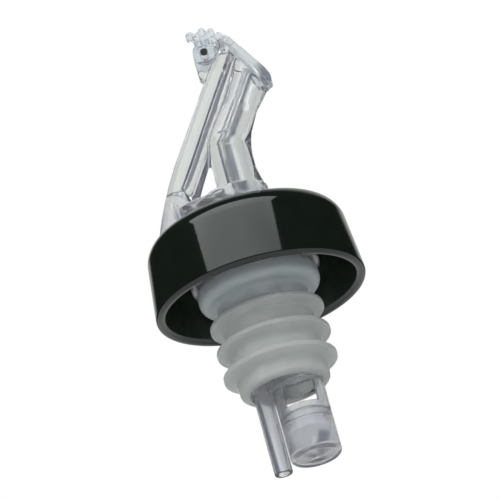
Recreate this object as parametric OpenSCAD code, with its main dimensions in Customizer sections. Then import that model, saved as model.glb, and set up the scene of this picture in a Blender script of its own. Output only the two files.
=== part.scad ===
// Liquor pourer: a clear leaning spout with a flip lid and a breather arm, a black collar,
// a finned cork that grips the bottle's neck, and a clear tail with a ball that times the pour.
// +Z is up along the cork's axis, +X is the pouring side, and the origin is on that axis
// in the middle of the cork's top fin. All sizes are in millimetres.

/* [Cork] */
// Radius of the fins before they bend in a bottle's neck
fin_r = 12.1; // [11:0.1:13]
// Distance from one fin to the next
fin_pitch = 5.65; // [5:0.05:7]
// Width of the straight land on a fin's rim
fin_land = 0.9; // [0.6:0.1:1.2]
// Thickness of a fin where it leaves the core
fin_root = 2.6; // [1.8:0.1:3.2]
// Radius of the cork's core between the fins
core_r = 9.6; // [9.2:0.1:10.2]
// Height of the bottle lip's seat above the top fin
lip_seat_h = 4.6; // [3.5:0.1:5.5]
// Radius of the cork's top flange
flange_r = 12.9; // [12:0.1:14]
// Thickness of the cork's top flange
flange_h = 4.9; // [4:0.1:6]
// Radius of the rounding on the flange's edges
flange_round = 1.9; // [1:0.1:1.9]
// Length of the plain nose below the lowest fin
nose_h = 5; // [3.5:0.1:6]
// Radius of the rounding on the nose
nose_round = 1.2; // [0.6:0.1:1.8]

/* [Collar] */
// Radius of the collar at its open rim
collar_r = 22.5; // [21:0.1:24]
// Height of the collar
collar_h = 17.2; // [16.5:0.1:20]
// Draft of the collar's outer wall in degrees
collar_draft = 6; // [4:0.1:8]
// Radius of the collar's shoulder
shoulder_r = 4.9; // [4:0.1:6]
// Thickness of the collar's wall and top
collar_wall = 2.2; // [1.8:0.1:2.6]
// Radius of the rounding on the rim
rim_round = 0.7; // [0.4:0.1:0.85]
// Height of the bottle lip's seat above the collar's rim
rim_drop = 0.2; // [0:0.1:2]
// Outer radius of the tube inside the collar that clamps on the tail's disc
hub_r = 9.5; // [8.8:0.1:11]

/* [Tail] */
// Radius of the disc that lies on the cork
disc_r = 13.7; // [13:0.1:14.5]
// Thickness of the disc
disc_h = 2; // [1.5:0.1:2.5]
// Radius of the neck that passes through the cork
neck_r = 7.6; // [7.5:0.05:7.9]
// Distance of the chamber's axis from the cork's axis
chamber_x = 2.35; // [2.2:0.05:2.4]
// Outer radius of the chamber and the cup
chamber_r = 5.45; // [5.4:0.05:5.5]
// Inner radius of the chamber and the cup
chamber_bore_r = 4.55; // [4.5:0.05:4.6]
// Height of the windows
window_h = 4.8; // [4.4:0.1:6]
// Width of the windows
window_w = 6.4; // [5:0.1:7.6]
// Height of the collar of wall between the cork's end and the windows
window_gap = 0.7; // [0.4:0.1:1.5]
// Height of the chamber's wall below the windows
sill_h = 1.5; // [1.2:0.1:3]
// Length of the cup
cup_h = 9.4; // [8.6:0.1:14]
// Thickness of the cup's floor
cup_floor = 1.2; // [0.8:0.1:2]
// Length of the joint where the cup takes the chamber's end
cup_joint_h = 1.6; // [1:0.1:2.2]
// Radius of the joint
cup_joint_r = 5; // [4.9:0.05:5.05]
// Radius of the bleed hole in the cup's floor
bleed_r = 0.6; // [0.4:0.1:1]
// Radius of the rounding under the cup
cup_round = 0.8; // [0.4:0.1:1.1]
// Radius of the timing ball
ball_r = 4.2; // [3.9:0.05:4.3]
// Gap between the ball and the surfaces that stop it
ball_gap = 0.1; // [0.05:0.05:0.3]

/* [Air tube] */
// Distance of the air tube behind the cork's axis
air_x = 5.15; // [5.12:0.01:5.2]
// Outer radius of the air tube
air_r = 1.95; // [1.8:0.05:1.97]
// Radius of the air tube's bore
air_bore_r = 1.2; // [0.8:0.05:1.4]
// Depth of the air tube's socket in the neck
air_socket_h = 8; // [5:0.5:12]
// How far the air tube reaches past the cup
air_past_cup = 1.6; // [0:0.1:6]

/* [Spout] */
// Distance of the upright leg's axis from the cork's axis
riser_x = 1.7; // [1.2:0.1:2.4]
// Radius of the upright leg at its foot
riser_r = 4.75; // [4.6:0.05:5.2]
// Radius of the upright leg at the bend
bend_r = 4.4; // [4.35:0.05:4.55]
// Radius of the leaning leg at the bend
leg_r = 4.3; // [4.15:0.05:4.3]
// Radius of the leaning leg at its waist
waist_r = 3.55; // [3.45:0.05:3.7]
// Length from the bend to the waist
waist_len = 8.5; // [7:0.1:9.5]
// Radius of the leaning leg at the mouth
mouth_r = 4.3; // [4:0.05:4.5]
// Radius of the bore from the plug up to the bend
bore_r = 2.1; // [2:0.05:2.2]
// Radius of the leaning leg's bore
leg_bore_r = 2; // [1.8:0.05:2]
// Height of the bend above the collar
bend_h = 18.45; // [17:0.05:20]
// Lean of the spout in degrees
lean = 33; // [28:1:38]
// Length from the bend to the middle of the mouth
leg_len = 16; // [15:0.1:18]
// Tilt of the mouth's normal above the horizontal in degrees
mouth_tilt = 28; // [24:1:32]
// Radius of the sweep inside the bend
sweep_r = 18.2; // [17:0.1:20]
// Depth below the bend at which the sweep is upright
sweep_low = 4.95; // [4.6:0.05:5.2]
// Angle by which the sweep runs out again at the upright leg's foot
sweep_foot = 21; // [18:0.5:22]
// Half the width of the base on the collar
base_r = 7.2; // [7.1:0.05:7.4]
// Distance of the base's back end from the cork's axis
base_back = 12.7; // [11:0.1:13.5]
// Height of the base above the collar
base_h = 5.8; // [4.5:0.1:6.5]
// Distance of the round boss under the upright leg from the cork's axis
boss_x = 0.3; // [0.2:0.05:0.4]
// Height of the round boss above the collar
boss_h = 7.1; // [6.8:0.1:7.6]
// Radius of the flare at the upright leg's foot
flare_r = 1.4; // [1:0.1:1.6]
// Radius of the post inside the collar
post_r = 6.8; // [6.4:0.1:7]
// Radius of the plug in the tail
plug_r = 6; // [5.8:0.05:6.1]
// Length of the plug
plug_h = 6; // [4:0.1:6.5]
// Radius of the air way in the plug
plug_air_r = 1; // [0.7:0.05:1.1]
// Distance of the plug's air way behind the cork's axis
plug_air_x = 4.6; // [4.4:0.05:4.7]

/* [Breather arm] */
// Lean of the arm in degrees
arm_lean = 32; // [30:0.5:34]
// Distance from the bend to the arm's axis
arm_off = 5.65; // [5.4:0.05:5.9]
// Radius of the arm along its curve
arm_r = 3.5; // [3.3:0.05:3.7]
// Radius of the arm at its top end
arm_top_r = 3.1; // [2.8:0.05:3.2]
// Radius of the arm's curve down to the collar
arm_curve_r = 80; // [70:1:110]
// How far below the bend the arm starts to curve, along its lean
arm_start = 6.5; // [5:0.1:8]
// Distance of the arm's flat top from the middle of the mouth, along the mouth's face
arm_roof = 7.75; // [7.4:0.05:8.2]
// Gap between the arm and the lid's hub
arm_notch = 0.3; // [0.2:0.05:0.5]
// Distance from the bend to the breather's bore
breather_off = 5; // [4.8:0.05:5.2]
// Radius of the breather's bore
breather_r = 1.05; // [0.8:0.05:1.2]
// How far below the bend the breather's bore starts, along the arm's lean
breather_start = 13.5; // [13:0.1:14]
// Radius of the breather's upright lower bore
breather_low_r = 1.9; // [1.5:0.05:2]
// How far the upright lower bore lies behind the start of the breather's bore
breather_low_back = 1.35; // [1:0.05:1.5]
// How far the upright lower bore reaches above the start of the breather's bore
breather_low_up = 0.6; // [0:0.1:0.8]
// Width of the air channel under the base
channel_w = 2.4; // [1.6:0.1:3]
// Depth of the air channel under the base
channel_h = 1.4; // [1:0.1:2]

/* [Hinge] */
// Distance of the hinge from the middle of the mouth, along the mouth's face
pin_up = 9.75; // [9.4:0.05:10.5]
// Distance of the hinge behind the mouth's face
pin_back = 4.25; // [4:0.05:4.6]
// Radius of the hinge pin
pin_r = 0.75; // [0.6:0.05:1]
// Clearance round the pin in the lid
pin_clear = 0.05; // [0.02:0.01:0.1]
// Radius of the lug round the pin
lug_r = 2.45; // [2.2:0.05:2.6]
// Thickness of the lug
lug_w = 3.2; // [2.6:0.1:4]
// Height of the lug's straight back
lug_back_h = 4.5; // [4:0.1:5]
// Distance of the lug's foot below the hinge, along the arm's lean
lug_foot = 6.6; // [5:0.1:8]

/* [Lid] */
// Gap between the lid and the lug on each side
lid_side_gap = 0.15; // [0.1:0.05:0.3]
// Thickness of each cheek of the lid
cheek_w = 1.9; // [1.4:0.1:2.4]
// Radius of the cheeks below the pin
cheek_r = 2.4; // [2.2:0.05:2.5]
// Radius of the hub's ridged side
hub_side_r = 4.75; // [4.6:0.05:5]
// Inner radius of the bridge over the lug
bridge_r = 3.4; // [3.2:0.05:3.6]
// Radius of the ridges on the hub
ridge_r = 0.75; // [0.5:0.05:0.9]
// Number of ridges on the hub
ridge_count = 3; // [2:1:3]
// Angle between ridges in degrees
ridge_step = 23.5; // [21:0.5:26]
// Angle of the first ridge from the mouth's normal in degrees
ridge_start = 8; // [4:1:12]
// Radius of the thumb knob
knob_r = 0.95; // [0.8:0.05:1.1]
// Angle of the thumb knob from the mouth's normal in degrees
knob_angle = 82; // [78:1:86]
// Distance of the thumb knob from the hinge
knob_reach = 5.75; // [5.5:0.05:6]
// Width of the thumb knob
knob_w = 2; // [1.6:0.1:2.6]
// Thickness of the thumb knob's stem
knob_neck = 0.8; // [0.6:0.1:0.9]
// Distance of the stem inside the hub's back face
knob_inset = 0.1; // [0.05:0.05:0.2]
// Half the width of the flap
flap_r = 4.6; // [4.5:0.05:5]
// Thickness of the flap at its tip
flap_tip_h = 2.35; // [2.1:0.05:2.6]
// Thickness of the flap at the hub
flap_root_h = 1.4; // [1.2:0.1:2]
// Radius of the rounding on the flap's tip
flap_round = 1.6; // [1:0.1:1.7]
// Size of the chamfer on the flap's inner edge at its tip
flap_lip = 0.6; // [0.2:0.1:0.8]
// Gap between the closed flap and the mouth
flap_gap = 0.12; // [0.08:0.02:0.3]
// Distance from the hinge to the flap's full width
flap_neck = 1.2; // [0.6:0.1:2.4]

/* [Hidden] */
$fn = 64;

// Overlap that lets a cut or a joined shape run past a face
eps = 0.5;
// Depth to which a blend's ends lie inside the shape that they run into
bury = 0.1;
// Step by which the arm's straight part is slimmer than its curve where they join
arm_step = 0.03;
// Clearance between the collar's hole and the post
post_clear = 0.1;
fin_count = 3;

// Heights of the stack, from the cork's nose up to the collar's top
cork_bottom = -fin_pitch * (fin_count - 1) - nose_h;
cork_top = lip_seat_h + flange_h;
disc_top = cork_top + disc_h;
rim_z = lip_seat_h - rim_drop;
seat_z = rim_z + collar_h;
plug_bottom = disc_top - plug_h;

// Heights of the tail below the cork
window_top = cork_bottom - window_gap;
window_bottom = window_top - window_h;
cup_top = window_bottom - sill_h;
cup_bottom = cup_top - cup_h;
ball_rest_z = cup_bottom + cup_floor + ball_r + ball_gap;

// Directions in the XZ plane: along the leaning leg and the arm, square to each, and the mouth's normal
along = [sin(lean), cos(lean)];
across = [cos(lean), -sin(lean)];
arm_along = [sin(arm_lean), cos(arm_lean)];
arm_across = [cos(arm_lean), -sin(arm_lean)];
mouth_n = [cos(mouth_tilt), sin(mouth_tilt)];
mouth_up = [-sin(mouth_tilt), cos(mouth_tilt)];

// Places in the XZ plane
bend = [riser_x, seat_z + bend_h];
mouth = bend + leg_len * along;
pin = mouth + pin_up * mouth_up - pin_back * mouth_n;
arm_line = bend - arm_off * across;
arm_end = arm_line + (mouth - arm_line) * mouth_n / (arm_along * mouth_n) * arm_along;
arm_bend = arm_line - arm_start * arm_along;
breather_low = bend - breather_off * across - breather_start * arm_along;
low_bore = breather_low + [-breather_low_back, breather_low_up];

// The arm's curve: its centre, and the lean that is left where it meets the collar
arm_centre = arm_bend + arm_curve_r * arm_across;
foot_lean = asin(sin(arm_lean) - (arm_bend[1] - seat_z) / arm_curve_r);
arm_foot_x = arm_centre[0] - arm_curve_r * cos(foot_lean);

// Widths of the lid
cheek_in = lug_w / 2 + lid_side_gap;
cheek_out = cheek_in + cheek_w;

// Radius of the collar's outer wall at a height above its rim
function collar_wall_r(h) = collar_r - h * tan(collar_draft);

// Puts a shape drawn along Z at a place in the XZ plane, leaning towards +X
module lean_at(place, angle) {
    translate([place[0], 0, place[1]]) rotate([0, angle, 0]) children();
}

// Extrudes an outline drawn in the XZ plane from y = from to y = to
module slab(from, to) {
    translate([0, to, 0]) rotate([90, 0, 0]) linear_extrude(height = to - from) children();
}

// Puts an outline drawn from the mouth's middle, with its first axis along the mouth's normal
module in_mouth_frame() {
    translate(mouth) rotate(mouth_tilt) children();
}

// Puts an outline drawn from the pin, with its first axis along the mouth's normal
module at_pin() {
    translate(pin) rotate(mouth_tilt) children();
}

// Half outline with rounded outer corners, from the axis out to radius r
module rounded_half(r, low, high, low_round, high_round) {
    square_low = low + low_round;
    square_high = high - high_round;
    translate([0, square_low]) square([r, square_high - square_low]);
    translate([0, low]) square([r - low_round, low_round]);
    translate([0, square_high]) square([r - high_round, high_round]);
    translate([r - low_round, square_low]) circle(r = low_round);
    translate([r - high_round, square_high]) circle(r = high_round);
}

// Outline of one fin, with a straight land on its rim
module fin_outline() {
    polygon([
        [core_r - eps, -fin_root / 2 - eps / 4],
        [fin_r - fin_land / 2, -fin_land / 2],
        [fin_r, -fin_land / 2],
        [fin_r, fin_land / 2],
        [fin_r - fin_land / 2, fin_land / 2],
        [core_r - eps, fin_root / 2 + eps / 4]
    ]);
}

module cork() {
    color("gainsboro") rotate_extrude() difference() {
        union() {
            rounded_half(flange_r, lip_seat_h, cork_top, flange_round, flange_round);
            rounded_half(core_r, cork_bottom, lip_seat_h + flange_round, nose_round, nose_round);
            for (i = [0:fin_count - 1]) {
                translate([0, -i * fin_pitch]) fin_outline();
            }
        }
        translate([0, cork_bottom - eps]) square([neck_r, cork_top - cork_bottom + 2 * eps]);
    }
}

// Half outline of the collar's outside, drawn from its rim, thinned by a wall
module collar_outline(wall) {
    shoulder = shoulder_r - wall / 2;
    top = collar_h - wall;
    shoulder_x = collar_wall_r(collar_h - shoulder_r) - wall - shoulder * cos(collar_draft);
    shoulder_z = top - shoulder;
    translate([shoulder_x, shoulder_z]) circle(r = shoulder);
    polygon([
        [0, 0],
        [collar_r - wall, 0],
        [shoulder_x + shoulder * cos(collar_draft), shoulder_z + shoulder * sin(collar_draft)],
        [shoulder_x, shoulder_z],
        [shoulder_x, top],
        [0, top]
    ]);
}

module collar() {
    rim_middle = collar_r - collar_wall / 2;
    color([0.06, 0.07, 0.065]) translate([0, 0, rim_z]) rotate_extrude() {
        difference() {
            collar_outline(0);
            translate([0, -eps]) square([collar_r + eps, eps + rim_round]);
            difference() {
                collar_outline(collar_wall);
                translate([0, disc_top - rim_z]) square([hub_r, collar_h]);
            }
            square([post_r + post_clear, collar_h + eps]);
        }
        translate([rim_middle - collar_wall / 2 + rim_round, 0])
            square([collar_wall - 2 * rim_round, rim_round]);
        translate([rim_middle - collar_wall / 2 + rim_round, rim_round]) circle(r = rim_round);
        translate([rim_middle + collar_wall / 2 - rim_round, rim_round]) circle(r = rim_round);
    }
}

module tail_body() {
    color([0.82, 0.84, 0.88]) difference() {
        union() {
            translate([0, 0, cork_top]) cylinder(h = disc_h, r = disc_r);
            translate([0, 0, cork_bottom]) cylinder(h = cork_top - cork_bottom, r = neck_r);
            translate([chamber_x, 0, cup_top])
                cylinder(h = cork_bottom - cup_top + eps, r = chamber_r);
            translate([chamber_x, 0, cup_top - cup_joint_h])
                cylinder(h = cup_joint_h + eps, r = cup_joint_r);
        }
        translate([0, 0, plug_bottom]) cylinder(h = plug_h + eps, r = plug_r);
        translate([chamber_x, 0, cup_top - cup_joint_h - eps])
            cylinder(h = plug_bottom - cup_top + cup_joint_h + 2 * eps, r = chamber_bore_r);
        translate([-air_x, 0, cork_bottom - eps]) cylinder(h = air_socket_h + eps, r = air_r);
        translate([-air_x, 0, cork_bottom])
            cylinder(h = plug_bottom - cork_bottom + eps, r = air_bore_r);
        translate([chamber_x - window_w / 2, -chamber_r - eps, window_bottom])
            cube([window_w, 2 * (chamber_r + eps), window_h]);
    }
}

module timing_cup() {
    color([0.78, 0.78, 0.86]) translate([chamber_x, 0, 0]) rotate_extrude() difference() {
        rounded_half(chamber_r, cup_bottom, cup_top + cup_round, cup_round, cup_round);
        translate([0, cup_top]) square([chamber_r + eps, cup_round + eps]);
        translate([0, cup_bottom + cup_floor]) square([chamber_bore_r, cup_h]);
        translate([0, cup_top - cup_joint_h]) square([cup_joint_r, cup_joint_h + eps]);
        translate([0, cup_bottom - eps]) square([bleed_r, cup_floor + 2 * eps]);
    }
}

module air_tube() {
    tube_bottom = cup_bottom - air_past_cup;
    tube_h = cork_bottom + air_socket_h - tube_bottom;
    color([0.8, 0.82, 0.88]) translate([-air_x, 0, tube_bottom]) difference() {
        cylinder(h = tube_h, r = air_r);
        translate([0, 0, -eps]) cylinder(h = tube_h + 2 * eps, r = air_bore_r);
    }
}

module timing_ball() {
    color([0.88, 0.9, 0.92]) translate([chamber_x, 0, ball_rest_z]) sphere(r = ball_r);
}

// Base on the collar: a long block with a round back, and a round boss under the upright leg
module base_block() {
    back_x = base_r - base_back;
    translate([0, 0, seat_z]) {
        linear_extrude(height = base_h) {
            translate([back_x, 0]) circle(r = base_r);
            translate([back_x, -base_r]) square([boss_x - back_x, 2 * base_r]);
        }
        translate([boss_x, 0, 0]) cylinder(h = boss_h, r = base_r);
    }
}

// Radius of the upright leg at a height above the collar
function riser_r_at(h) = riser_r + (bend_r - riser_r) * h / bend_h;

// Upright leg with the flare at its foot, run on to the outer corner of the bend
module riser() {
    flare_x = riser_r_at(boss_h + flare_r) - bury + flare_r;
    translate([riser_x, 0, seat_z]) {
        cylinder(h = bend_h, r1 = riser_r, r2 = bend_r);
        translate([0, 0, bend_h]) cylinder(h = leg_r * tan(lean / 2), r = bend_r);
        translate([0, 0, boss_h]) rotate_extrude() difference() {
            square([flare_x - flare_r / 4, flare_r]);
            translate([flare_x, flare_r]) circle(r = flare_r);
        }
    }
}

// Blend inside the bend, from the upright leg's foot round to the leaning leg's waist
module bend_sweep() {
    tube_r = waist_r - bury / 2;
    sweep_line_r = sweep_r + tube_r;
    reach = (sweep_line_r - sweep_low * sin(lean)) / cos(lean);
    translate([bend[0] + reach, 0, bend[1] - sweep_low]) rotate([90, 0, 0]) rotate([0, 0, 180 - lean])
        rotate_extrude(angle = lean + sweep_foot) translate([sweep_line_r, 0]) circle(r = tube_r);
}

// All that lies past the mouth's face
module past_mouth() {
    slab(-riser_r - eps, riser_r + eps) in_mouth_frame()
        translate([0, -2 * leg_len]) square([leg_len, 4 * leg_len]);
}

// Leaning leg, run back into the bend, narrow at its waist and cut off at the mouth's face
module leaning_leg() {
    run_back = leg_r * tan(lean / 2);
    widen_len = leg_len - waist_len + eps;
    widening = (mouth_r - waist_r + bury) / widen_len;
    difference() {
        union() {
            lean_at(bend, lean) cylinder(h = waist_len, r1 = leg_r, r2 = waist_r);
            lean_at(bend - run_back * along, lean) cylinder(h = run_back, r = leg_r);
            lean_at(bend + (leg_len - widen_len) * along, lean)
                cylinder(h = widen_len + mouth_r, r1 = waist_r - bury, r2 = mouth_r + mouth_r * widening);
            bend_sweep();
        }
        past_mouth();
    }
}

// Breather arm: a straight top that ends at the mouth's face, and a curve down to the collar
module arm() {
    straight = norm(arm_end - arm_bend) + eps + arm_top_r;
    foot_reach = 2 * arm_r;
    foot_angle = foot_reach / arm_curve_r * 180 / PI;
    difference() {
        lean_at(arm_bend - eps * arm_along, arm_lean)
            cylinder(h = straight, r1 = arm_r - arm_step, r2 = arm_top_r);
        past_mouth();
        slab(-arm_r - eps, arm_r + eps) {
            in_mouth_frame() translate([-leg_len, arm_roof]) square([2 * leg_len, leg_len]);
            translate(pin) circle(r = cheek_r + arm_notch);
        }
    }
    difference() {
        translate([arm_centre[0], 0, arm_centre[1]]) rotate([90, 0, 0]) rotate([0, 0, 180 - arm_lean])
            rotate_extrude(angle = arm_lean - foot_lean + foot_angle)
                translate([arm_curve_r, 0]) circle(r = arm_r);
        translate([arm_foot_x - arm_curve_r, -arm_r - eps, seat_z - arm_curve_r])
            cube([2 * arm_curve_r, 2 * (arm_r + eps), arm_curve_r]);
    }
}

// Lug that holds the hinge pin between the lid's cheeks
module lug() {
    foot = arm_line + ((pin - arm_line) * arm_along - lug_foot) * arm_along;
    front = pin + lug_r * mouth_n;
    slab(-lug_w / 2, lug_w / 2) {
        translate(pin) circle(r = lug_r);
        polygon([
            pin + [-lug_r, 0],
            pin + [-lug_r, -lug_back_h],
            foot,
            front - lug_back_h * mouth_up,
            front
        ]);
    }
}

// Bores of both legs and of the breather, and the channel that joins it to the tail
module spout_ways() {
    run_back = leg_bore_r * tan(lean / 2);
    bore_bend = [chamber_x, bend[1]];
    translate([chamber_x, 0, plug_bottom - eps])
        cylinder(h = bend[1] - plug_bottom + run_back + eps, r = bore_r);
    lean_at(bore_bend - run_back * along, lean)
        cylinder(h = run_back + leg_len + 2 * mouth_r, r = leg_bore_r);
    lean_at(breather_low, arm_lean)
        cylinder(h = breather_start + norm(arm_end - arm_line) + arm_top_r, r = breather_r);
    translate([low_bore[0], 0, seat_z - eps])
        cylinder(h = low_bore[1] - seat_z + eps, r = breather_low_r);
    translate([-plug_air_x, 0, plug_bottom - eps])
        cylinder(h = seat_z + channel_h - plug_bottom + eps, r = plug_air_r);
    translate([low_bore[0], -channel_w / 2, seat_z - eps])
        cube([-plug_air_x - low_bore[0], channel_w, channel_h + eps]);
}

module spout_body() {
    color([0.86, 0.88, 0.86]) difference() {
        union() {
            base_block();
            riser();
            leaning_leg();
            arm();
            lug();
            translate([0, 0, disc_top]) cylinder(h = seat_z - disc_top + eps, r = post_r);
            translate([0, 0, plug_bottom]) cylinder(h = plug_h + eps, r = plug_r);
        }
        spout_ways();
        slab(-lug_w, lug_w) translate(pin) circle(r = pin_r);
    }
}

module hinge_pin() {
    color([0.18, 0.18, 0.18]) slab(-cheek_out, cheek_out) translate(pin) circle(r = pin_r);
}

// Side view of the lid's hub: round the pin, with a wider side that carries the ridges
module hub_side(inner_r) {
    at_pin() difference() {
        union() {
            intersection() {
                circle(r = hub_side_r);
                polygon([
                    [0, 0],
                    [2 * hub_side_r, 0],
                    [2 * hub_side_r, 2 * hub_side_r],
                    2 * hub_side_r * [cos(knob_angle), sin(knob_angle)]
                ]);
            }
            for (i = [0:ridge_count - 1]) {
                rotate(ridge_start + i * ridge_step) translate([hub_side_r, 0]) circle(r = ridge_r);
            }
        }
        circle(r = inner_r);
    }
}

// Side view of the thumb knob on its stem
module knob_side() {
    stem_foot = hub_side_r - ridge_r;
    at_pin() rotate(knob_angle) {
        translate([stem_foot, -knob_neck - knob_inset]) square([knob_reach - stem_foot, knob_neck]);
        translate([knob_reach, 0]) circle(r = knob_r);
    }
}

// Side view of the flap, thicker at its rounded tip
module flap_side() {
    tip = -flap_r;
    in_mouth_frame() {
        translate([flap_gap + flap_tip_h - flap_round, tip + flap_round]) circle(r = flap_round);
        polygon([
            [flap_gap, tip + flap_lip],
            [flap_gap + flap_lip, tip],
            [flap_gap + flap_tip_h - flap_round, tip],
            [flap_gap + flap_tip_h, tip + flap_round],
            [flap_gap + flap_root_h, pin_up],
            [flap_gap, pin_up]
        ]);
    }
}

// Plan of the flap, seen along the mouth's normal: a round end and straight sides
module flap_plan() {
    circle(r = flap_r);
    translate([-flap_r, 0]) square([2 * flap_r, pin_up - flap_neck]);
    translate([-cheek_out, 0]) square([2 * cheek_out, pin_up]);
}

// Extrudes a plan drawn on the mouth's face along the mouth's normal
module from_mouth(low, high) {
    translate([mouth[0], 0, mouth[1]]) rotate([0, -mouth_tilt, 0]) translate([low, 0, 0])
        rotate([90, 0, 90]) linear_extrude(height = high - low) children();
}

module flap() {
    intersection() {
        slab(-flap_r - eps, flap_r + eps) flap_side();
        from_mouth(0, flap_tip_h + 2 * flap_gap + eps) flap_plan();
    }
}

module flip_lid() {
    color([0.8, 0.83, 0.9]) difference() {
        union() {
            flap();
            slab(-cheek_out, cheek_out) hub_side(bridge_r);
            slab(-knob_w / 2, knob_w / 2) knob_side();
            for (side = [-1, 1]) {
                slab(min(side * cheek_in, side * cheek_out), max(side * cheek_in, side * cheek_out)) {
                    hub_side(0);
                    translate(pin) circle(r = cheek_r);
                }
            }
        }
        slab(-cheek_out - eps, cheek_out + eps) translate(pin) circle(r = pin_r + pin_clear);
    }
}

spout_body();
flip_lid();
hinge_pin();
collar();
cork();
tail_body();
timing_cup();
air_tube();
timing_ball();
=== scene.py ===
"""Looks of a liquor pourer: clear head and tail, gloss black collar and milky cork.

Every length is in metres, in the frame of the solids: +Z runs up the cork's axis and +X is
the side that pours.
"""

import logging
import math
from dataclasses import dataclass, field
from enum import Enum

import bmesh
import bpy
from mathutils import Matrix, Vector


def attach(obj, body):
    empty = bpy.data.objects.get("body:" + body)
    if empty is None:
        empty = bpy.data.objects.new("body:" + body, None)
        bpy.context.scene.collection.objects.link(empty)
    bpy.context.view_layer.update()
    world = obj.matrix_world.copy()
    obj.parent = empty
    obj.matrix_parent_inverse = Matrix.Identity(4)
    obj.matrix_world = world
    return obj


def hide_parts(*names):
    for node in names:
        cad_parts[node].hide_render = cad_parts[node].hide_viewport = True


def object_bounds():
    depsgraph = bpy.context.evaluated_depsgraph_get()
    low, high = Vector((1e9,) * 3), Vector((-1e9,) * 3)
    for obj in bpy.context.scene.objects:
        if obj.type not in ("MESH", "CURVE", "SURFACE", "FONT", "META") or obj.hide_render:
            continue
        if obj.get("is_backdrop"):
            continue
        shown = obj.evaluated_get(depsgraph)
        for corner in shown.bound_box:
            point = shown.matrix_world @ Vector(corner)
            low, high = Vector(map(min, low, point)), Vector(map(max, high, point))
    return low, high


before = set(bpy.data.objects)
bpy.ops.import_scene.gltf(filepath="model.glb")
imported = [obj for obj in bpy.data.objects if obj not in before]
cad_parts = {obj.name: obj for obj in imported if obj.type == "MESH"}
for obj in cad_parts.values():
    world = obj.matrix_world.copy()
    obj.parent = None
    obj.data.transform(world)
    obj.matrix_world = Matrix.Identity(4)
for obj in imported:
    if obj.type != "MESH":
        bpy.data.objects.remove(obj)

logging.basicConfig(level=logging.INFO, format="%(name)s: %(message)s")
log = logging.getLogger("pourer")

Colour = tuple[float, float, float]
Place = tuple[float, float, float]
Span = tuple[float, float]
Pair = tuple[float, float]

MM = 0.001
MERGE = 0.002 * MM
SMOOTH_ANGLE = math.radians(35.0)
ROUND_STEP = 0.25 * MM
ROUND_STEPS_MIN = 6
CLEAR_IOR = 1.49
MILKY_IOR = 1.40
BLACK_IOR = 1.6
SKIN_INPUTS = ("Size", "Fine", "Grain", "Cloud")


class Body(str, Enum):
    """Bodies of the frame that a new piece rides on."""

    MAIN = "body"
    LID = "lid"


class Slot(str, Enum):
    """Material slots of the record, which Bench.place is given but doesn't use."""

    CLEAR = "clear_plastic"
    BLACK = "black_plastic"
    MILKY = "milky_plastic"


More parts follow.
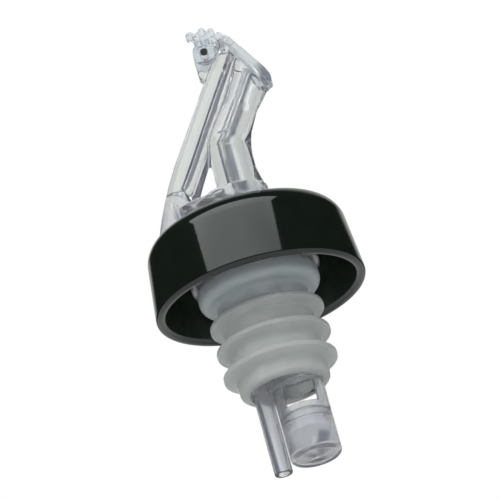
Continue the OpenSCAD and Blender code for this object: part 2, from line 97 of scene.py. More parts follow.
class NodeGraph:
    """A node tree with short calls to add and join nodes."""

    # Places of the colour sockets on a Mix node
    MIX_FIRST = 6
    MIX_SECOND = 7
    MIX_RESULT = 2

    def __init__(self, tree: bpy.types.NodeTree) -> None:
        """Starts an empty graph.

        Args:
            tree: The node tree of a material, world, lamp or group.
        """
        self.tree = tree
        tree.nodes.clear()

    def add(self, kind: str, **settings: object) -> bpy.types.Node:
        """Adds a node.

        Args:
            kind: The node's type without its ShaderNode prefix.
            **settings: Properties of the node.

        Returns:
            The new node.
        """
        prefix = "" if kind.startswith("Node") else "ShaderNode"
        node = self.tree.nodes.new(prefix + kind)
        for name, value in settings.items():
            setattr(node, name, value)
        return node

    def join(self, source: bpy.types.NodeSocket, target: bpy.types.NodeSocket) -> None:
        """Links an output to an input."""
        self.tree.links.new(source, target)

    def feed(self, target: bpy.types.NodeSocket, value: object) -> None:
        """Joins an output to an input, or sets the input.

        Args:
            target: The input.
            value: An output, a colour or a number.
        """
        if isinstance(value, bpy.types.NodeSocket):
            self.join(value, target)
        elif isinstance(value, tuple):
            target.default_value = (*value, 1.0)
        else:
            target.default_value = value

    def math(self, operation: str, a: object, b: object = 0.0) -> bpy.types.NodeSocket:
        """Adds a Math node.

        Args:
            operation: The node's operation.
            a: A number or an output.
            b: A number or an output.

        Returns:
            The node's output.
        """
        node = self.add("Math", operation=operation)
        self.feed(node.inputs[0], a)
        self.feed(node.inputs[1], b)
        return node.outputs[0]

    def product(self, *factors: object) -> bpy.types.NodeSocket:
        """Multiplies outputs and numbers.

        Args:
            *factors: Two or more outputs or numbers.

        Returns:
            Their product.
        """
        result = factors[0]
        for factor in factors[1:]:
            result = self.math("MULTIPLY", result, factor)
        return result

    def ramp(self, value: bpy.types.NodeSocket, span: Span) -> bpy.types.NodeSocket:
        """Adds a smooth step.

        Args:
            value: The output that drives the step.
            span: Values at which the step gives 0 and 1.

        Returns:
            The step's output.
        """
        node = self.add("MapRange", interpolation_type="SMOOTHSTEP")
        self.join(value, node.inputs["Value"])
        node.inputs["From Min"].default_value, node.inputs["From Max"].default_value = span
        return node.outputs["Result"]

    def noise(
        self, place: bpy.types.NodeSocket, scale: bpy.types.NodeSocket, detail: float
    ) -> bpy.types.NodeSocket:
        """Adds a noise texture.

        Args:
            place: Where the texture is read.
            scale: The texture's scale.
            detail: Number of its finer layers.

        Returns:
            The texture's value.
        """
        node = self.add("TexNoise")
        node.inputs["Detail"].default_value = detail
        self.join(place, node.inputs["Vector"])
        self.join(scale, node.inputs["Scale"])
        return node.outputs["Fac"]

    def spot(self) -> tuple[bpy.types.NodeSocket, bpy.types.NodeSocket]:
        """Adds the place of a surface point.

        Returns:
            The point's distance from the upright axis, and its height.
        """
        place = self.add("SeparateXYZ")
        self.join(self.add("TexCoord").outputs["Object"], place.inputs[0])
        across = self.product(place.outputs["X"], place.outputs["X"])
        deep = self.product(place.outputs["Y"], place.outputs["Y"])
        return self.math("SQRT", self.math("ADD", across, deep)), place.outputs["Z"]

    def along(self, way: bpy.types.NodeSocket, axis: Vector) -> bpy.types.NodeSocket:
        """Adds the part of a direction that runs along an axis.

        Args:
            way: The direction.
            axis: The axis.

        Returns:
            The part, from -1 to 1.
        """
        node = self.add("VectorMath", operation="DOT_PRODUCT")
        self.join(way, node.inputs[0])
        node.inputs[1].default_value = axis
        return node.outputs["Value"]

    def blend(
        self, share: bpy.types.NodeSocket, low: object, high: object
    ) -> bpy.types.NodeSocket:
        """Adds a mix of two colours.

        Args:
            share: Share of the second colour.
            low: First colour, or an output that gives it.
            high: Second colour, or an output that gives it.

        Returns:
            The mixed colour.
        """
        node = self.add("Mix", data_type="RGBA")
        self.join(share, node.inputs["Factor"])
        self.feed(node.inputs[self.MIX_FIRST], low)
        self.feed(node.inputs[self.MIX_SECOND], high)
        return node.outputs[self.MIX_RESULT]

    def paint_shading(
        self, colour: bpy.types.NodeSocket, share: bpy.types.NodeSocket, factor: Colour
    ) -> bpy.types.NodeSocket:
        """Multiplies a colour where a mask is on, which paints light and shade onto it.

        Args:
            colour: The colour.
            share: The mask.
            factor: What the colour is multiplied by.

        Returns:
            The changed colour.
        """
        node = self.add("Mix", data_type="RGBA", blend_type="MULTIPLY", clamp_factor=True)
        self.join(share, node.inputs["Factor"])
        self.feed(node.inputs[self.MIX_FIRST], colour)
        self.feed(node.inputs[self.MIX_SECOND], factor)
        return node.outputs[self.MIX_RESULT]

    def layer(
        self, share: bpy.types.NodeSocket, low: bpy.types.Node, high: bpy.types.Node
    ) -> bpy.types.Node:
        """Adds a mix of two shaders.

        Args:
            share: Share of the second shader.
            low: First shader.
            high: Second shader.

        Returns:
            The mixed shader.
        """
        node = self.add("MixShader")
        for target, source in zip(node.inputs, (share, low.outputs[0], high.outputs[0])):
            self.join(source, target)
        return node

    def close(self, kind: str, shader: bpy.types.Node) -> None:
        """Adds the output node of a kind and joins a shader to it."""
        self.join(shader.outputs[0], self.add(kind).inputs["Surface"])


def moulded_skin_group() -> bpy.types.NodeTree:
    """Builds the group for the uneven skin of moulded plastic.

    Returns:
        A node group with inputs Size, Fine, Grain and Cloud, and outputs Height, Rough and Shade.
    """
    name = "moulded_skin"
    if name in bpy.data.node_groups:
        return bpy.data.node_groups[name]
    swell_span: Span = (0.25, 0.75)
    swell_middle = 0.5
    fine_span: Span = (0.3, 0.7)
    swell_detail, fine_detail = 2.0, 4.0
    tree = bpy.data.node_groups.new(name, "ShaderNodeTree")
    for socket in SKIN_INPUTS:
        tree.interface.new_socket(socket, in_out="INPUT", socket_type="NodeSocketFloat")
    for socket in ("Height", "Rough", "Shade"):
        tree.interface.new_socket(socket, in_out="OUTPUT", socket_type="NodeSocketFloat")
    graph = NodeGraph(tree)
    given = graph.add("NodeGroupInput").outputs
    result = graph.add("NodeGroupOutput").inputs
    place = graph.add("TexCoord").outputs["Object"]
    swell = graph.noise(place, given["Size"], swell_detail)
    fine = graph.noise(place, given["Fine"], fine_detail)
    height = graph.math("ADD", swell, graph.product(fine, given["Grain"]))
    graph.join(height, result["Height"])
    graph.join(graph.ramp(fine, fine_span), result["Rough"])
    cloud = graph.math("SUBTRACT", graph.ramp(swell, swell_span), swell_middle)
    shade = graph.math("ADD", graph.product(cloud, given["Cloud"]), 1.0)
    graph.join(shade, result["Shade"])
    return tree


@dataclass(frozen=True)
class Finish:
    """A moulded finish: one Principled shader over the uneven skin.

    Attributes:
        name: Name of the material.
        colour: Base colour.
        rough: Roughness where the skin is smoothest and where it is dullest.
        bump: Height of the skin's unevenness.
        size: Scale of the slow swell.
        fine: Scale of the fine grain.
        grain: Share of the fine grain in the height.
        cloud: Change of the colour over the swell.
        plain: Inputs of the shader that are the same all over the surface.
    """

    name: str
    colour: Colour
    rough: Span
    bump: float = 0.01 * MM
    size: float = 250.0
    fine: float = 2600.0
    grain: float = 0.2
    cloud: float = 0.02
    plain: dict[str, object] = field(default_factory=dict)

    def material(self) -> bpy.types.Material:
        """Makes the material, or returns it if it is there.

        Returns:
            The material.
        """
        if self.name in bpy.data.materials:
            return bpy.data.materials[self.name]
        made = bpy.data.materials.new(self.name)
        made.use_nodes = True
        graph = NodeGraph(made.node_tree)
        shader = graph.add("BsdfPrincipled")
        for socket, value in self.plain.items():
            shader.inputs[socket].default_value = value
        skin = graph.add("Group", node_tree=moulded_skin_group())
        for socket in SKIN_INPUTS:
            skin.inputs[socket].default_value = getattr(self, socket.lower())
        tint = graph.add("VectorMath", operation="SCALE")
        tint.inputs[0].default_value = self.colour
        graph.join(skin.outputs["Shade"], tint.inputs["Scale"])
        graph.join(self.tone(graph, tint.outputs[0]), shader.inputs["Base Color"])
        rough = graph.add("MapRange")
        rough.inputs["To Min"].default_value, rough.inputs["To Max"].default_value = self.rough
        graph.join(skin.outputs["Rough"], rough.inputs["Value"])
        graph.join(self.wear(graph, rough.outputs["Result"]), shader.inputs["Roughness"])
        bump = graph.add("Bump")
        bump.inputs["Strength"].default_value = 1.0
        bump.inputs["Distance"].default_value = self.bump
        graph.join(skin.outputs["Height"], bump.inputs["Height"])
        graph.join(bump.outputs["Normal"], shader.inputs["Normal"])
        graph.close("OutputMaterial", shader)
        return made

    def tone(self, graph: NodeGraph, colour: bpy.types.NodeSocket) -> bpy.types.NodeSocket:
        """Changes the colour from place to place, which a plain finish doesn't."""
        return colour

    def wear(self, graph: NodeGraph, rough: bpy.types.NodeSocket) -> bpy.types.NodeSocket:
        """Changes the roughness from place to place, which a plain finish doesn't."""
        return rough

    def dress(self, piece: bpy.types.Object) -> None:
        """Makes the material the only one on a piece."""
        piece.data.materials.clear()
        piece.data.materials.append(self.material())


@dataclass(frozen=True)
class MilkyFinish(Finish):
    """A translucent finish with painted light: paler on the narrow fin rims, and painted bluer on
    the flange, which lies in the collar's shadow.

    Attributes:
        rim_light_span: Distances from the axis between which the wall grows thinner and the
            painted light on the fin rims fades in.
        painted_rim_light: Colour factor of the painted light on the fin rims.
        flange_light_span: Heights between which the wall grows thicker and the painted bluish
            light on the flange fades in.
        painted_blue_shading: Colour factor of the painted bluish light on the flange.
    """

    rim_light_span: Span = (11.56 * MM, 11.76 * MM)
    painted_rim_light: Colour = (1.12, 1.12, 1.12)
    flange_light_span: Span = (1.0 * MM, 4.0 * MM)
    painted_blue_shading: Colour = (0.96, 1.01, 1.12)

    def tone(self, graph: NodeGraph, colour: bpy.types.NodeSocket) -> bpy.types.NodeSocket:
        """Paints light onto the fin rims, where the wall is thinner, and bluish light onto the
        flange, in the collar's shadow.

        Args:
            graph: The material's graph.
            colour: The even colour.

        Returns:
            The changed colour.
        """
        far, height = graph.spot()
        rim = graph.ramp(far, self.rim_light_span)
        high = graph.ramp(height, self.flange_light_span)
        # painted light: paler fin rims, and bluish light on the flange in the collar's shadow
        pale = graph.paint_shading(colour, graph.math("SUBTRACT", rim, high), self.painted_rim_light)
        return graph.paint_shading(pale, high, self.painted_blue_shading)


@dataclass(frozen=True)
class SkirtFinish(Finish):
    """A gloss finish that is duller on the inside of a tapered skirt.

    Attributes:
        foot_z: Height of the skirt's foot.
        taper: How much the radius falls with the height.
        inside_span: Radii at the foot between which the outside turns into the inside.
        below_span: Heights between which the skirt's top turns into the hollow.
        painted_inner_light: Colour factor of the painted light on the inside.
    """

    foot_z: float = 4.4 * MM
    taper: float = 0.106
    inside_span: Span = (20.8 * MM, 20.5 * MM)
    below_span: Span = (20.6 * MM, 19.8 * MM)
    painted_inner_light: Colour = (4.4, 4.0, 4.0)

    def tone(self, graph: NodeGraph, colour: bpy.types.NodeSocket) -> bpy.types.NodeSocket:
        """Paints light onto the inside of the skirt, which lies in shade.

        Args:
            graph: The material's graph.
            colour: The even colour.

        Returns:
            The changed colour.
        """
        far, height = graph.spot()
        rise = graph.math("SUBTRACT", height, self.foot_z)
        level = graph.math("ADD", far, graph.product(rise, self.taper))
        inside = graph.ramp(level, self.inside_span)
        below = graph.ramp(height, self.below_span)
        # painted light: lifts the shaded inside of the skirt
        return graph.paint_shading(colour, graph.product(inside, below), self.painted_inner_light)


@dataclass(frozen=True)
class FootedFinish(Finish):
    """A clear finish with a scuffed foot, which is bluer because it is thick.

    Attributes:
        foot_span: Heights between which the surface turns into the foot.
        scuff: Roughness that the scuffing adds.
        painted_blue_shading: Colour factor of the painted bluish shade at the foot.
    """

    foot_span: Span = (28.8 * MM, 27.4 * MM)
    scuff: float = 0.2
    painted_blue_shading: Colour = (0.91, 0.92, 0.98)

    def foot(self, graph: NodeGraph) -> bpy.types.NodeSocket:
        """Adds a mask that is on at the foot."""
        return graph.ramp(graph.spot()[1], self.foot_span)

    def tone(self, graph: NodeGraph, colour: bpy.types.NodeSocket) -> bpy.types.NodeSocket:
        """Paints bluish shade onto the foot."""
        # painted shade: darker and bluer at the foot, where the black collar shows through
        return graph.paint_shading(colour, self.foot(graph), self.painted_blue_shading)

    def wear(self, graph: NodeGraph, rough: bpy.types.NodeSocket) -> bpy.types.NodeSocket:
        """Makes the foot rougher."""
        return graph.math("ADD", rough, graph.product(self.foot(graph), self.scuff))


def see_through(weight: float, ior: float) -> dict[str, object]:
    """Lists the plain shader inputs of a see-through plastic.

    Args:
        weight: Share of the light that goes through.
        ior: Index of refraction.

    Returns:
        The inputs by name.
    """
    return {"Transmission Weight": weight, "IOR": ior}


FOOTED = FootedFinish(
    "moulded_spout", (0.97, 0.98, 0.985), (0.01, 0.04), plain=see_through(0.93, CLEAR_IOR)
)
TINTED = Finish(
    "moulded_lid", (0.91, 0.94, 0.985), (0.02, 0.06), plain=see_through(0.88, CLEAR_IOR)
)
CLEAR = Finish(
    "moulded_clear", (0.97, 0.98, 0.985), (0.01, 0.04), plain=see_through(0.93, CLEAR_IOR)
)
SMOKED = Finish(
    "moulded_smoked", (0.91, 0.91, 0.945), (0.10, 0.15), bump=0.003 * MM,
    plain=see_through(0.88, CLEAR_IOR),
)
BLACK = SkirtFinish(
    "gloss_black", (0.007, 0.011, 0.0085), (0.05, 0.09), bump=0.004 * MM, cloud=0.2,
    plain={"IOR": BLACK_IOR},
)
MILKY = MilkyFinish(
    "milky_cork", (0.885, 0.92, 0.88), (0.30, 0.42), bump=0.02 * MM, cloud=0.06,
    plain={
        **see_through(0.5, MILKY_IOR),
        "Subsurface Weight": 1.0,
        "Subsurface Radius": (1.0, 1.0, 1.0),
        "Subsurface Scale": 1.4 * MM,
    },
)
WETTED = Finish(
    "wetted_bore", (0.98, 0.99, 0.98), (0.2, 0.3), cloud=0.04, plain=see_through(1.0, MILKY_IOR)
)
STEEL = Finish(
    "worn_steel", (0.02, 0.02, 0.02), (0.25, 0.4), bump=0.006 * MM, cloud=0.3,
    plain={"Metallic": 0.6},
)


@dataclass(frozen=True)
class Knot:
    """A corner of a turned outline.

    Attributes:
        r: Distance from the axis.
        z: Height.
        cut: How far the rounding of the corner reaches along its two sides.
    """

    r: float
    z: float
    cut: float = 0.0


class Bench:
    """Modelling steps that several pieces share."""

    @staticmethod
    def pick(piece: bpy.types.Object) -> None:
        """Makes a piece the only one that is selected.

        Args:
            piece: The piece.
        """
        bpy.ops.object.select_all(action="DESELECT")
        piece.select_set(True)
        bpy.context.view_layer.objects.active = piece

    @staticmethod
    def place(
        piece: bpy.types.Object, node: str, body: Body, slot: Slot, finish: Finish
    ) -> None:
        """Puts a finished piece in the place of a solid.

        Args:
            piece: The finished piece.
            node: The solid that it stands for.
            body: The body that it rides on.
            slot: The record's material slot; not used.
            finish: The finish that it gets.
        """
        finish.dress(piece)
        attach(piece, body.value)
        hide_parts(node)
        log.info("made %s in place of %s", piece.name, node)

    @staticmethod
    def dress_solid(node: str, finish: Finish) -> None:
        """Gives a solid that stays as it is a finish."""
        finish.dress(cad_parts[node])
        log.info("dressed %s", node)

    @staticmethod
    def cast(node: str, name: str) -> bpy.types.Object:
        """Copies a solid's mesh and merges its triangles.

        Args:
            node: Name of the solid.
            name: Name of the copy.

        Returns:
            The copy.
        """
        piece = bpy.data.objects.new(name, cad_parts[node].data.copy())
        bpy.context.scene.collection.objects.link(piece)
        Bench.pick(piece)
        bpy.ops.object.mode_set(mode="EDIT")
        bpy.ops.mesh.select_all(action="SELECT")
        bpy.ops.mesh.remove_doubles(threshold=MERGE)
        bpy.ops.object.mode_set(mode="OBJECT")
        return piece

    @staticmethod
    def soften(piece: bpy.types.Object, cell: float, passes: int, factor: float = 0.5) -> None:
        """Rounds every edge and fills every corner a little, as a mould does.

        Args:
            piece: The piece.
            cell: Size of the new faces.
            passes: How often the faces are smoothed.
            factor: How far each pass moves a point.
        """
        Bench.pick(piece)
        remesh = piece.modifiers.new("remesh", "REMESH")
        remesh.mode = "VOXEL"
        remesh.voxel_size = cell
        remesh.use_smooth_shade = True
        smooth = piece.modifiers.new("smooth", "SMOOTH")
        smooth.factor = factor
        smooth.iterations = passes
        bpy.ops.object.modifier_apply(modifier=remesh.name)
        bpy.ops.object.modifier_apply(modifier=smooth.name)
        bpy.ops.object.shade_smooth()

    @staticmethod
    def turn(name: str, outline: list[Knot], axis_x: float, steps: int) -> bpy.types.Object:
        """Turns a closed outline round an upright axis.

        Args:
            name: Name of the piece.
            outline: Corners of the outline, in order.
            axis_x: Place of the axis.
            steps: Number of steps in the turn.

        Returns:
            The turned piece.
        """
        bpy.ops.object.select_all(action="DESELECT")
        bpy.ops.mesh.primitive_plane_add(size=MM)
        piece = bpy.context.active_object
        piece.name = name
        bpy.ops.object.mode_set(mode="EDIT")
        bpy.ops.mesh.select_mode(type="VERT")
        bpy.ops.mesh.select_all(action="SELECT")
        bpy.ops.mesh.merge(type="CENTER")
        bpy.ops.transform.translate(value=(axis_x + outline[0].r, 0.0, outline[0].z))
        for last, knot in zip(outline, outline[1:]):
            move = (knot.r - last.r, 0.0, knot.z - last.z)
            bpy.ops.mesh.extrude_region_move(TRANSFORM_OT_translate={"value": move})
        Bench.select_at([outline[0], outline[-1]], axis_x)
        bpy.ops.mesh.edge_face_add()
        for knot in outline:
            if knot.cut > 0.0:
                Bench.select_at([knot], axis_x)
                bpy.ops.mesh.bevel(
                    offset=knot.cut,
                    segments=max(ROUND_STEPS_MIN, round(knot.cut / ROUND_STEP)),
                    affect="VERTICES",
                    clamp_overlap=False,
                )
        bpy.ops.mesh.select_all(action="SELECT")
        bpy.ops.mesh.spin(
            steps=steps, angle=math.tau, center=(axis_x, 0.0, 0.0), axis=(0.0, 0.0, 1.0)
        )
        bpy.ops.mesh.select_all(action="SELECT")
        bpy.ops.mesh.remove_doubles(threshold=MERGE)
        bpy.ops.mesh.normals_make_consistent(inside=False)
        bpy.ops.object.mode_set(mode="OBJECT")
        bpy.ops.object.shade_smooth_by_angle(angle=SMOOTH_ANGLE)
        return piece

    @staticmethod
    def select_at(knots: list[Knot], axis_x: float) -> None:
        """Selects the vertices of the mesh in edit mode that lie at some corners.

        Args:
            knots: The corners.
            axis_x: Place of the outline's axis.
        """
        bpy.ops.mesh.select_all(action="DESELECT")
        mesh = bmesh.from_edit_mesh(bpy.context.active_object.data)
        spots = [Vector((axis_x + knot.r, 0.0, knot.z)) for knot in knots]
        for vertex in mesh.verts:
            if any((vertex.co - spot).length < MERGE for spot in spots):
                vertex.select = True
        mesh.select_flush_mode()
        bmesh.update_edit_mesh(bpy.context.active_object.data)


@dataclass
class Head:
    """Clear spout with its flip lid and hinge pin.

    Attributes:
        spout_cell: Size of the faces on the spout.
        lid_cell: Size of the faces on the lid.
        passes: Smoothing passes on both.
    """

    spout_cell: float = 0.27 * MM
    lid_cell: float = 0.12 * MM
    passes: int = 4

    def build(self) -> None:
        """Moulds the spout and the lid, and dresses the pin."""
        spout = Bench.cast("spout_body", "clear_spout")
        Bench.soften(spout, self.spout_cell, self.passes)
        Bench.place(spout, "spout_body", Body.MAIN, Slot.CLEAR, FOOTED)
        lid = Bench.cast("flip_lid", "clear_lid")
        Bench.soften(lid, self.lid_cell, self.passes)
        Bench.place(lid, "flip_lid", Body.LID, Slot.CLEAR, TINTED)
        Bench.dress_solid("hinge_pin", STEEL)


@dataclass
class Collar:
    """Gloss black skirt with a wide round shoulder and a soft rim, turned from one outline.

    Attributes:
        hole_r: Radius of the hole in the top.
        hole_round: Rounding of the hole's upper edge.
        rim_r: Outer radius at the rim.
        rim_z: Height of the rim.
        rim_round: Rounding of both edges of the rim.
        top_r: Outer radius that the wall would have at the top.
        top_z: Height of the top.
        wall: Thickness of the wall and the top.
        inner_gain: How much thinner the wall is at the top.
        shoulder: Rounding of the shoulder.
        hub_r: Outer radius of the tube under the top.
        hub_z: Height of the tube's foot.
        hub_round: Rounding of the tube's root and of its foot.
        steps: Number of steps in the turn.
    """

    hole_r: float = 6.9 * MM
    hole_round: float = 0.15 * MM
    rim_r: float = 22.5 * MM
    rim_z: float = 4.4 * MM
    rim_round: float = 1.0 * MM
    top_r: float = 20.69 * MM
    top_z: float = 21.6 * MM
    wall: float = 2.2 * MM
    inner_gain: float = 0.2 * MM
    shoulder: float = 4.6 * MM
    hub_r: float = 9.5 * MM
    hub_z: float = 11.5 * MM
    hub_round: Pair = (0.4 * MM, 0.2 * MM)
    steps: int = 192

    def outline(self) -> list[Knot]:
        """Draws half of the collar's section.

        Returns:
            The corners, from the hole's top round the rim to the hole's foot.
        """
        inner_z = self.top_z - self.wall
        inner_r = self.top_r - self.wall + self.inner_gain
        root_round, foot_round = self.hub_round
        return [
            Knot(self.hole_r, self.top_z, self.hole_round),
            Knot(self.top_r, self.top_z, self.shoulder),
            Knot(self.rim_r, self.rim_z, self.rim_round),
            Knot(self.rim_r - self.wall, self.rim_z, self.rim_round),
            Knot(inner_r, inner_z, self.shoulder - 0.5 * self.wall),
            Knot(self.hub_r, inner_z, root_round),
            Knot(self.hub_r, self.hub_z, foot_round),
            Knot(self.hole_r, self.hub_z),
        ]

    def build(self) -> None:
        """Turns the collar."""
        piece = Bench.turn("gloss_collar", self.outline(), 0.0, self.steps)
        Bench.place(piece, "collar", Body.MAIN, Slot.BLACK, BLACK)


@dataclass
class Cork:
    """Milky stopper: a flange, three fins and a plain nose, turned from one outline.

    Attributes:
        bore_r: Radius of the bore.
        bore_margin: How far from the bore a face still belongs to it.
        bore_round: Rounding of the bore's lower edge.
        core_r: Radius between the fins.
        fin_r: Radius of the fins.
        fin_shoulder_r: Radius at which a fin's slope ends and its thin rim starts.
        fin_pitch: Distance from one fin to the next.
        fin_count: Number of fins.
        fin_half: Half of a rim's thickness.
        root_half: Half of a fin's thickness at its root.
        root_round: Rounding of a fin's root.
        shoulder_round: Rounding where the slope meets the rim.
        rim_round: Rounding of a rim's edges.
        flange_r: Radius of the flange.
        flange_low: Height of the flange's underside.
        flange_high: Height of the flange's top.
        flange_round: Rounding of the flange's edges.
        flange_root: Rounding under the flange.
        nose_z: Height of the nose's end.
        nose_round: Rounding of the nose's outer edge.
        steps: Number of steps in the turn.
    """

    bore_r: float = 7.56 * MM
    bore_margin: float = 0.2 * MM
    bore_round: float = 0.3 * MM
    core_r: float = 9.6 * MM
    fin_r: float = 12.1 * MM
    fin_shoulder_r: float = 11.65 * MM
    fin_pitch: float = 5.65 * MM
    fin_count: int = 3
    fin_half: float = 0.45 * MM
    root_half: float = 1.23 * MM
    root_round: float = 0.5 * MM
    shoulder_round: float = 0.15 * MM
    rim_round: float = 0.12 * MM
    flange_r: float = 12.9 * MM
    flange_low: float = 4.6 * MM
    flange_high: float = 9.5 * MM
    flange_round: float = 1.9 * MM
    flange_root: float = 0.9 * MM
    nose_z: float = -16.3 * MM
    nose_round: float = 1.2 * MM
    steps: int = 160

    def outline(self) -> list[Knot]:
        """Draws half of the cork's section.

        Returns:
            The corners, from the bore's top round to the bore's foot.
        """
        knots = [
            Knot(self.bore_r, self.flange_high),
            Knot(self.flange_r, self.flange_high, self.flange_round),
            Knot(self.flange_r, self.flange_low, self.flange_round),
            Knot(self.core_r, self.flange_low, self.flange_root),
        ]
        for number in range(self.fin_count):
            middle = -number * self.fin_pitch
            knots += [
                Knot(self.core_r, middle + self.root_half, self.root_round),
                Knot(self.fin_shoulder_r, middle + self.fin_half, self.shoulder_round),
                Knot(self.fin_r, middle + self.fin_half, self.rim_round),
                Knot(self.fin_r, middle - self.fin_half, self.rim_round),
                Knot(self.fin_shoulder_r, middle - self.fin_half, self.shoulder_round),
                Knot(self.core_r, middle - self.root_half, self.root_round),
            ]
        return knots + [
            Knot(self.core_r, self.nose_z, self.nose_round),
            Knot(self.bore_r, self.nose_z, self.bore_round),
        ]

    def build(self) -> None:
        """Turns the cork and dresses its bore, which clings to the neck, by itself."""
        piece = Bench.turn("milky_cork", self.outline(), 0.0, self.steps)
        Bench.place(piece, "cork", Body.MAIN, Slot.MILKY, MILKY)
        wetted = len(piece.data.materials)
        piece.data.materials.append(WETTED.material())
        for face in piece.data.polygons:
            if math.hypot(face.center.x, face.center.y) < self.bore_r + self.bore_margin:
                face.material_index = wetted


@dataclass
class Tail:
    """Clear insert with its chamber, cup, air tube and ball.

    Attributes:
        body_cell: Size of the faces on the insert.
        passes: Smoothing passes on the insert.
        chamber_x: Place of the chamber's and the cup's axis.
        cup_r: Outer radius of the cup.
        cup_bore_r: Inner radius of the cup.
        cup_joint_r: Inner radius where the cup sits on the chamber.
        cup_joint_z: Height of the chamber's end in the cup.
        cup_top: Height of the cup's rim.
        cup_bottom: Height of the cup's underside.
        cup_floor: Thickness of the cup's floor.
        cup_round: Rounding of the cup's lower edge.
        cup_rim_round: Rounding of the cup's outer rim.
        cup_floor_round: Rounding where the cup's floor meets its wall.
        cup_steps: Number of steps in the cup's turn.
        bleed_r: Radius of the bleed hole in the cup's floor.
        bleed_round: Rounding of the bleed hole's edges.
        tube_x: Place of the air tube's axis.
        tube_r: Outer radius of the tube.
        tube_bore_r: Inner radius of the tube.
        tube_top: Height of the tube's upper end.
        tube_bottom: Height of the tube's lower end.
        tube_round: Rounding of the inner and the outer edge of the lower end.
        tube_steps: Number of steps in the tube's turn.
        fine_round: Rounding of the edges that hardly show.
    """

    body_cell: float = 0.225 * MM
    passes: int = 3
    chamber_x: float = 2.35 * MM
    cup_r: float = 5.45 * MM
    cup_bore_r: float = 4.55 * MM
    cup_joint_r: float = 5.03 * MM
    cup_joint_z: float = -24.9 * MM
    cup_top: float = -23.3 * MM
    cup_bottom: float = -32.7 * MM
    cup_floor: float = 1.2 * MM
    cup_round: float = 0.9 * MM
    cup_rim_round: float = 0.2 * MM
    cup_floor_round: float = 0.5 * MM
    cup_steps: int = 128
    bleed_r: float = 0.6 * MM
    bleed_round: float = 0.15 * MM
    tube_x: float = -5.15 * MM
    tube_r: float = 1.93 * MM
    tube_bore_r: float = 1.2 * MM
    tube_top: float = -8.3 * MM
    tube_bottom: float = -34.3 * MM
    tube_round: Pair = (0.2 * MM, 0.3 * MM)
    tube_steps: int = 64
    fine_round: float = 0.1 * MM

    def build(self) -> None:
        """Moulds the insert, turns the cup and the tube, and dresses the ball."""
        insert = Bench.cast("tail_body", "clear_insert")
        Bench.soften(insert, self.body_cell, self.passes)
        Bench.place(insert, "tail_body", Body.MAIN, Slot.CLEAR, SMOKED)
        cup = Bench.turn("clear_cup", self.cup_outline(), self.chamber_x, self.cup_steps)
        Bench.place(cup, "timing_cup", Body.MAIN, Slot.CLEAR, SMOKED)
        tube = Bench.turn("clear_air_tube", self.tube_outline(), self.tube_x, self.tube_steps)
        Bench.place(tube, "air_tube", Body.MAIN, Slot.CLEAR, SMOKED)
        Bench.dress_solid("timing_ball", CLEAR)

    def cup_outline(self) -> list[Knot]:
        """Draws half of the cup's section.

        Returns:
            The corners, from the bleed hole out and back.
        """
        inner_floor = self.cup_bottom + self.cup_floor
        return [
            Knot(self.bleed_r, self.cup_bottom, self.bleed_round),
            Knot(self.cup_r, self.cup_bottom, self.cup_round),
            Knot(self.cup_r, self.cup_top, self.cup_rim_round),
            Knot(self.cup_joint_r, self.cup_top, self.fine_round),
            Knot(self.cup_joint_r, self.cup_joint_z),
            Knot(self.cup_bore_r, self.cup_joint_z, self.fine_round),
            Knot(self.cup_bore_r, inner_floor, self.cup_floor_round),
            Knot(self.bleed_r, inner_floor, self.bleed_round),
        ]

    def tube_outline(self) -> list[Knot]:
        """Draws half of the air tube's section.

        Returns:
            The corners, from the bore's foot out and back.
        """
        inner_round, outer_round = self.tube_round
        return [
            Knot(self.tube_bore_r, self.tube_bottom, inner_round),
            Knot(self.tube_r, self.tube_bottom, outer_round),
            Knot(self.tube_r, self.tube_top, self.fine_round),
            Knot(self.tube_bore_r, self.tube_top, self.fine_round),
        ]


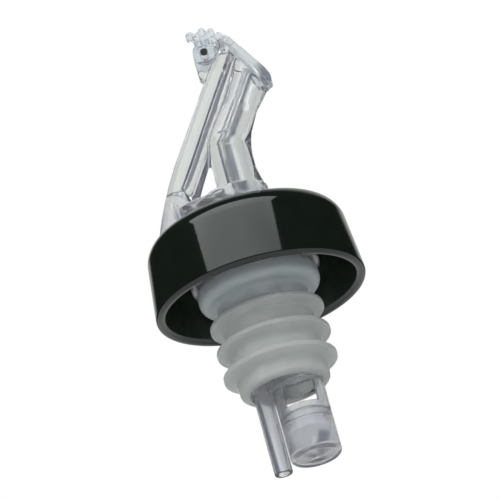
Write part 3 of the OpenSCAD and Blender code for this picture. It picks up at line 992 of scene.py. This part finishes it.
@dataclass
class Studio:
    """Camera, light and floor.

    The spans that end in right, up and ahead are parts of a direction along the camera's axes,
    between which a zone of the world fades in.

    Attributes:
        aim: Point that is in the middle of the picture.
        rise: Angle at which the camera looks up.
        roll: Lean of the object in the picture.
        distance: Distance of the camera.
        view_width: Width of the picture at the object.
        sensor: Width of the camera's sensor in millimetres.
        clip: Nearest and farthest distance that the camera sees.
        floor_half: Half of the floor's side.
        floor_colour: Colour of the floor.
        floor_pale: Share of white on the floor as seen directly or through clear plastic.
        floor_gloss: Share of white on the floor as mirrored.
        white: Colour of the background.
        backdrop: Colour of the world behind clear plastic, and of the mirrored panel.
        haze: Colour of the world above, behind clear plastic.
        haze_up: Fade of the haze.
        dusk: Colour of the world on the left, behind clear plastic.
        dusk_right: Fade of the dusk across.
        dusk_up: Fade of the dusk upwards.
        strip_right: Fade of the white strip on its right.
        strip_left: Fade of the white strip on its left.
        strip_up: Fade of the white strip upwards.
        shade: Colour of the world that gloss mirrors outside the panel.
        panel_ahead: Fade of the panel into the picture.
        panel_right: Fade of the panel to both sides.
        ambient: Colour of the world that lights the object.
        lamp_place: Middle of the softbox.
        lamp_size: Width and height of the softbox.
        lamp_glow: Brightness of the softbox's face, where 1 is white.
        lamp_colour: Colour of the softbox.
        lamp_low: Factor of its brightness at its lower edge.
        lamp_lift: What the factor gains towards the upper edge.
        lamp_lift_span: Heights on the face between which it gains that.
        lamp_dim: What the factor loses towards the far side.
        lamp_dim_span: Places across the face between which it loses that.
    """

    aim: Vector = field(default_factory=lambda: Vector((0.36, 0.0, 15.8)) * MM)
    rise: float = math.radians(22.14)
    roll: float = math.radians(15.44)
    distance: float = 2.5
    view_width: float = 103.69 * MM
    sensor: float = 36.0
    clip: Span = (0.01, 50.0)
    floor_half: float = 4.0
    floor_colour: Colour = (0.70, 0.70, 0.71)
    floor_pale: float = 0.55
    floor_gloss: float = 0.15
    white: Colour = (1.0, 1.0, 1.0)
    backdrop: Colour = (0.62, 0.64, 0.61)
    haze: Colour = (0.30, 0.36, 0.53)
    haze_up: Span = (0.42, 0.62)
    dusk: Colour = (0.015, 0.022, 0.05)
    dusk_right: Span = (-0.14, -0.26)
    dusk_up: Span = (-0.30, -0.10)
    strip_right: Span = (-0.02, -0.06)
    strip_left: Span = (-0.16, -0.12)
    strip_up: Span = (0.0, 0.04)
    shade: Colour = (0.02, 0.022, 0.02)
    panel_ahead: Span = (0.55, 0.90)
    panel_right: Span = (0.5, 0.3)
    ambient: Colour = (0.40, 0.405, 0.41)
    lamp_place: Place = (-0.05, -0.40, 0.46)
    lamp_size: Pair = (0.95, 0.60)
    lamp_glow: float = 2.0
    lamp_colour: Colour = (0.95, 1.0, 0.98)
    lamp_low: float = 0.92
    lamp_lift: float = 0.3
    lamp_lift_span: Span = (0.2, 0.5)
    lamp_dim: float = 0.26
    lamp_dim_span: Span = (0.5, 0.95)

    def build(self) -> None:
        """Builds the camera, the world, the lamp and the floor."""
        self.camera()
        self.world()
        self.lamp()
        self.floor()
        bpy.context.scene.view_settings.view_transform = "Standard"

    def axes(self) -> tuple[Vector, Vector, Vector]:
        """Works out the camera's axes.

        Returns:
            The directions to the right, up and into the picture.
        """
        forward = Vector((0.0, math.cos(self.rise), math.sin(self.rise)))
        level_up = Vector((0.0, -math.sin(self.rise), math.cos(self.rise)))
        level_right = Vector((1.0, 0.0, 0.0))
        right = math.cos(self.roll) * level_right - math.sin(self.roll) * level_up
        up = math.sin(self.roll) * level_right + math.cos(self.roll) * level_up
        return right, up, forward

    def camera(self) -> None:
        """Sets the camera at the photograph's angle."""
        right, up, forward = self.axes()
        data = bpy.data.cameras.new("camera")
        data.sensor_width = self.sensor
        data.lens = self.sensor * self.distance / self.view_width
        data.clip_start, data.clip_end = self.clip
        eye = bpy.data.objects.new("camera", data)
        bpy.context.scene.collection.objects.link(eye)
        turn = Matrix((right, up, -forward)).transposed().to_4x4()
        eye.matrix_world = Matrix.Translation(self.aim - self.distance * forward) @ turn
        bpy.context.scene.camera = eye

    def world(self) -> None:
        """Makes a world that is white to the camera and a studio to gloss and clear plastic."""
        world = bpy.data.worlds.new("studio")
        world.use_nodes = True
        graph = NodeGraph(world.node_tree)
        ray = graph.add("LightPath").outputs
        mirrored, through = self.surroundings(graph)
        gloss = graph.blend(ray["Is Transmission Ray"], mirrored, through)
        soft = graph.blend(ray["Is Diffuse Ray"], gloss, self.ambient)
        seen = graph.blend(ray["Is Camera Ray"], soft, self.white)
        sky = graph.add("Background")
        graph.join(seen, sky.inputs["Color"])
        graph.close("OutputWorld", sky)
        bpy.context.scene.world = world

    def surroundings(
        self, graph: NodeGraph
    ) -> tuple[bpy.types.NodeSocket, bpy.types.NodeSocket]:
        """Paints the zones of the world.

        Args:
            graph: The world's graph.

        Returns:
            The colour that gloss mirrors, and the one that clear plastic lets through.
        """
        way = graph.add("TexCoord").outputs["Generated"]
        right, up, forward = (graph.along(way, axis) for axis in self.axes())
        behind = graph.blend(graph.ramp(up, self.haze_up), self.backdrop, self.haze)
        left = graph.product(graph.ramp(right, self.dusk_right), graph.ramp(up, self.dusk_up))
        strip = graph.product(
            graph.ramp(right, self.strip_right),
            graph.ramp(right, self.strip_left),
            graph.ramp(up, self.strip_up),
        )
        through = graph.blend(strip, graph.blend(left, behind, self.dusk), self.white)
        side = graph.ramp(graph.math("ABSOLUTE", right), self.panel_right)
        panel = graph.product(graph.ramp(forward, self.panel_ahead), side)
        return graph.blend(panel, self.shade, self.backdrop), through

    def lamp(self) -> None:
        """Adds a softbox that faces the object, with a face that isn't quite even."""
        name = "softbox_front"
        data = bpy.data.lights.new(name, "AREA")
        data.shape = "RECTANGLE"
        data.size, data.size_y = self.lamp_size
        data.energy = self.lamp_glow * math.pi * data.size * data.size_y
        data.color = self.lamp_colour
        data.use_nodes = True
        graph = NodeGraph(data.node_tree)
        spread = graph.add("SeparateXYZ")
        graph.join(graph.add("NewGeometry").outputs["Parametric"], spread.inputs[0])
        dim = graph.product(graph.ramp(spread.outputs["X"], self.lamp_dim_span), self.lamp_dim)
        lift = graph.product(graph.ramp(spread.outputs["Y"], self.lamp_lift_span), self.lamp_lift)
        factor = graph.math("SUBTRACT", graph.math("ADD", lift, self.lamp_low), dim)
        face = graph.add("Emission")
        graph.join(factor, face.inputs["Strength"])
        graph.close("OutputLight", face)
        lamp = bpy.data.objects.new(name, data)
        bpy.context.scene.collection.objects.link(lamp)
        lamp.location = self.lamp_place
        lamp.rotation_mode = "QUATERNION"
        lamp.rotation_quaternion = (self.aim - lamp.location).to_track_quat("-Z", "Y")
        lamp.visible_camera = False

    def floor(self) -> None:
        """Adds a pale floor that can't be seen from below."""
        bpy.ops.object.select_all(action="DESELECT")
        bpy.ops.mesh.primitive_plane_add(size=2.0 * self.floor_half)
        ground = bpy.context.active_object
        ground.name = "floor"
        ground.location = (0.0, 0.0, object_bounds()[0].z)
        ground.data.materials.append(self.floor_paint())
        ground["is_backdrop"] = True

    def floor_paint(self) -> bpy.types.Material:
        """Makes the floor's material.

        Returns:
            A material that is clear from below.
        """
        made = bpy.data.materials.new("pale_floor")
        made.use_nodes = True
        made.cycles.emission_sampling = "NONE"
        graph = NodeGraph(made.node_tree)
        paint = graph.add("BsdfDiffuse")
        graph.feed(paint.inputs["Color"], self.floor_colour)
        pale = graph.add("Emission")
        graph.feed(pale.inputs["Color"], self.white)
        ray = graph.add("LightPath").outputs
        direct = graph.math("MAXIMUM", ray["Is Camera Ray"], ray["Is Transmission Ray"])
        mirrored = graph.product(ray["Is Glossy Ray"], self.floor_gloss)
        shown = graph.math("MAXIMUM", graph.product(direct, self.floor_pale), mirrored)
        above = graph.layer(shown, paint, pale)
        below = graph.add("BsdfTransparent")
        side = graph.add("NewGeometry").outputs["Backfacing"]
        graph.close("OutputMaterial", graph.layer(side, above, below))
        return made


def main() -> None:
    """Builds the pourer's looks and the studio round it."""
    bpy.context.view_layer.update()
    Studio().build()
    for assembly in (Head(), Collar(), Cork(), Tail()):
        assembly.build()


if __name__ == "__main__":
    main()
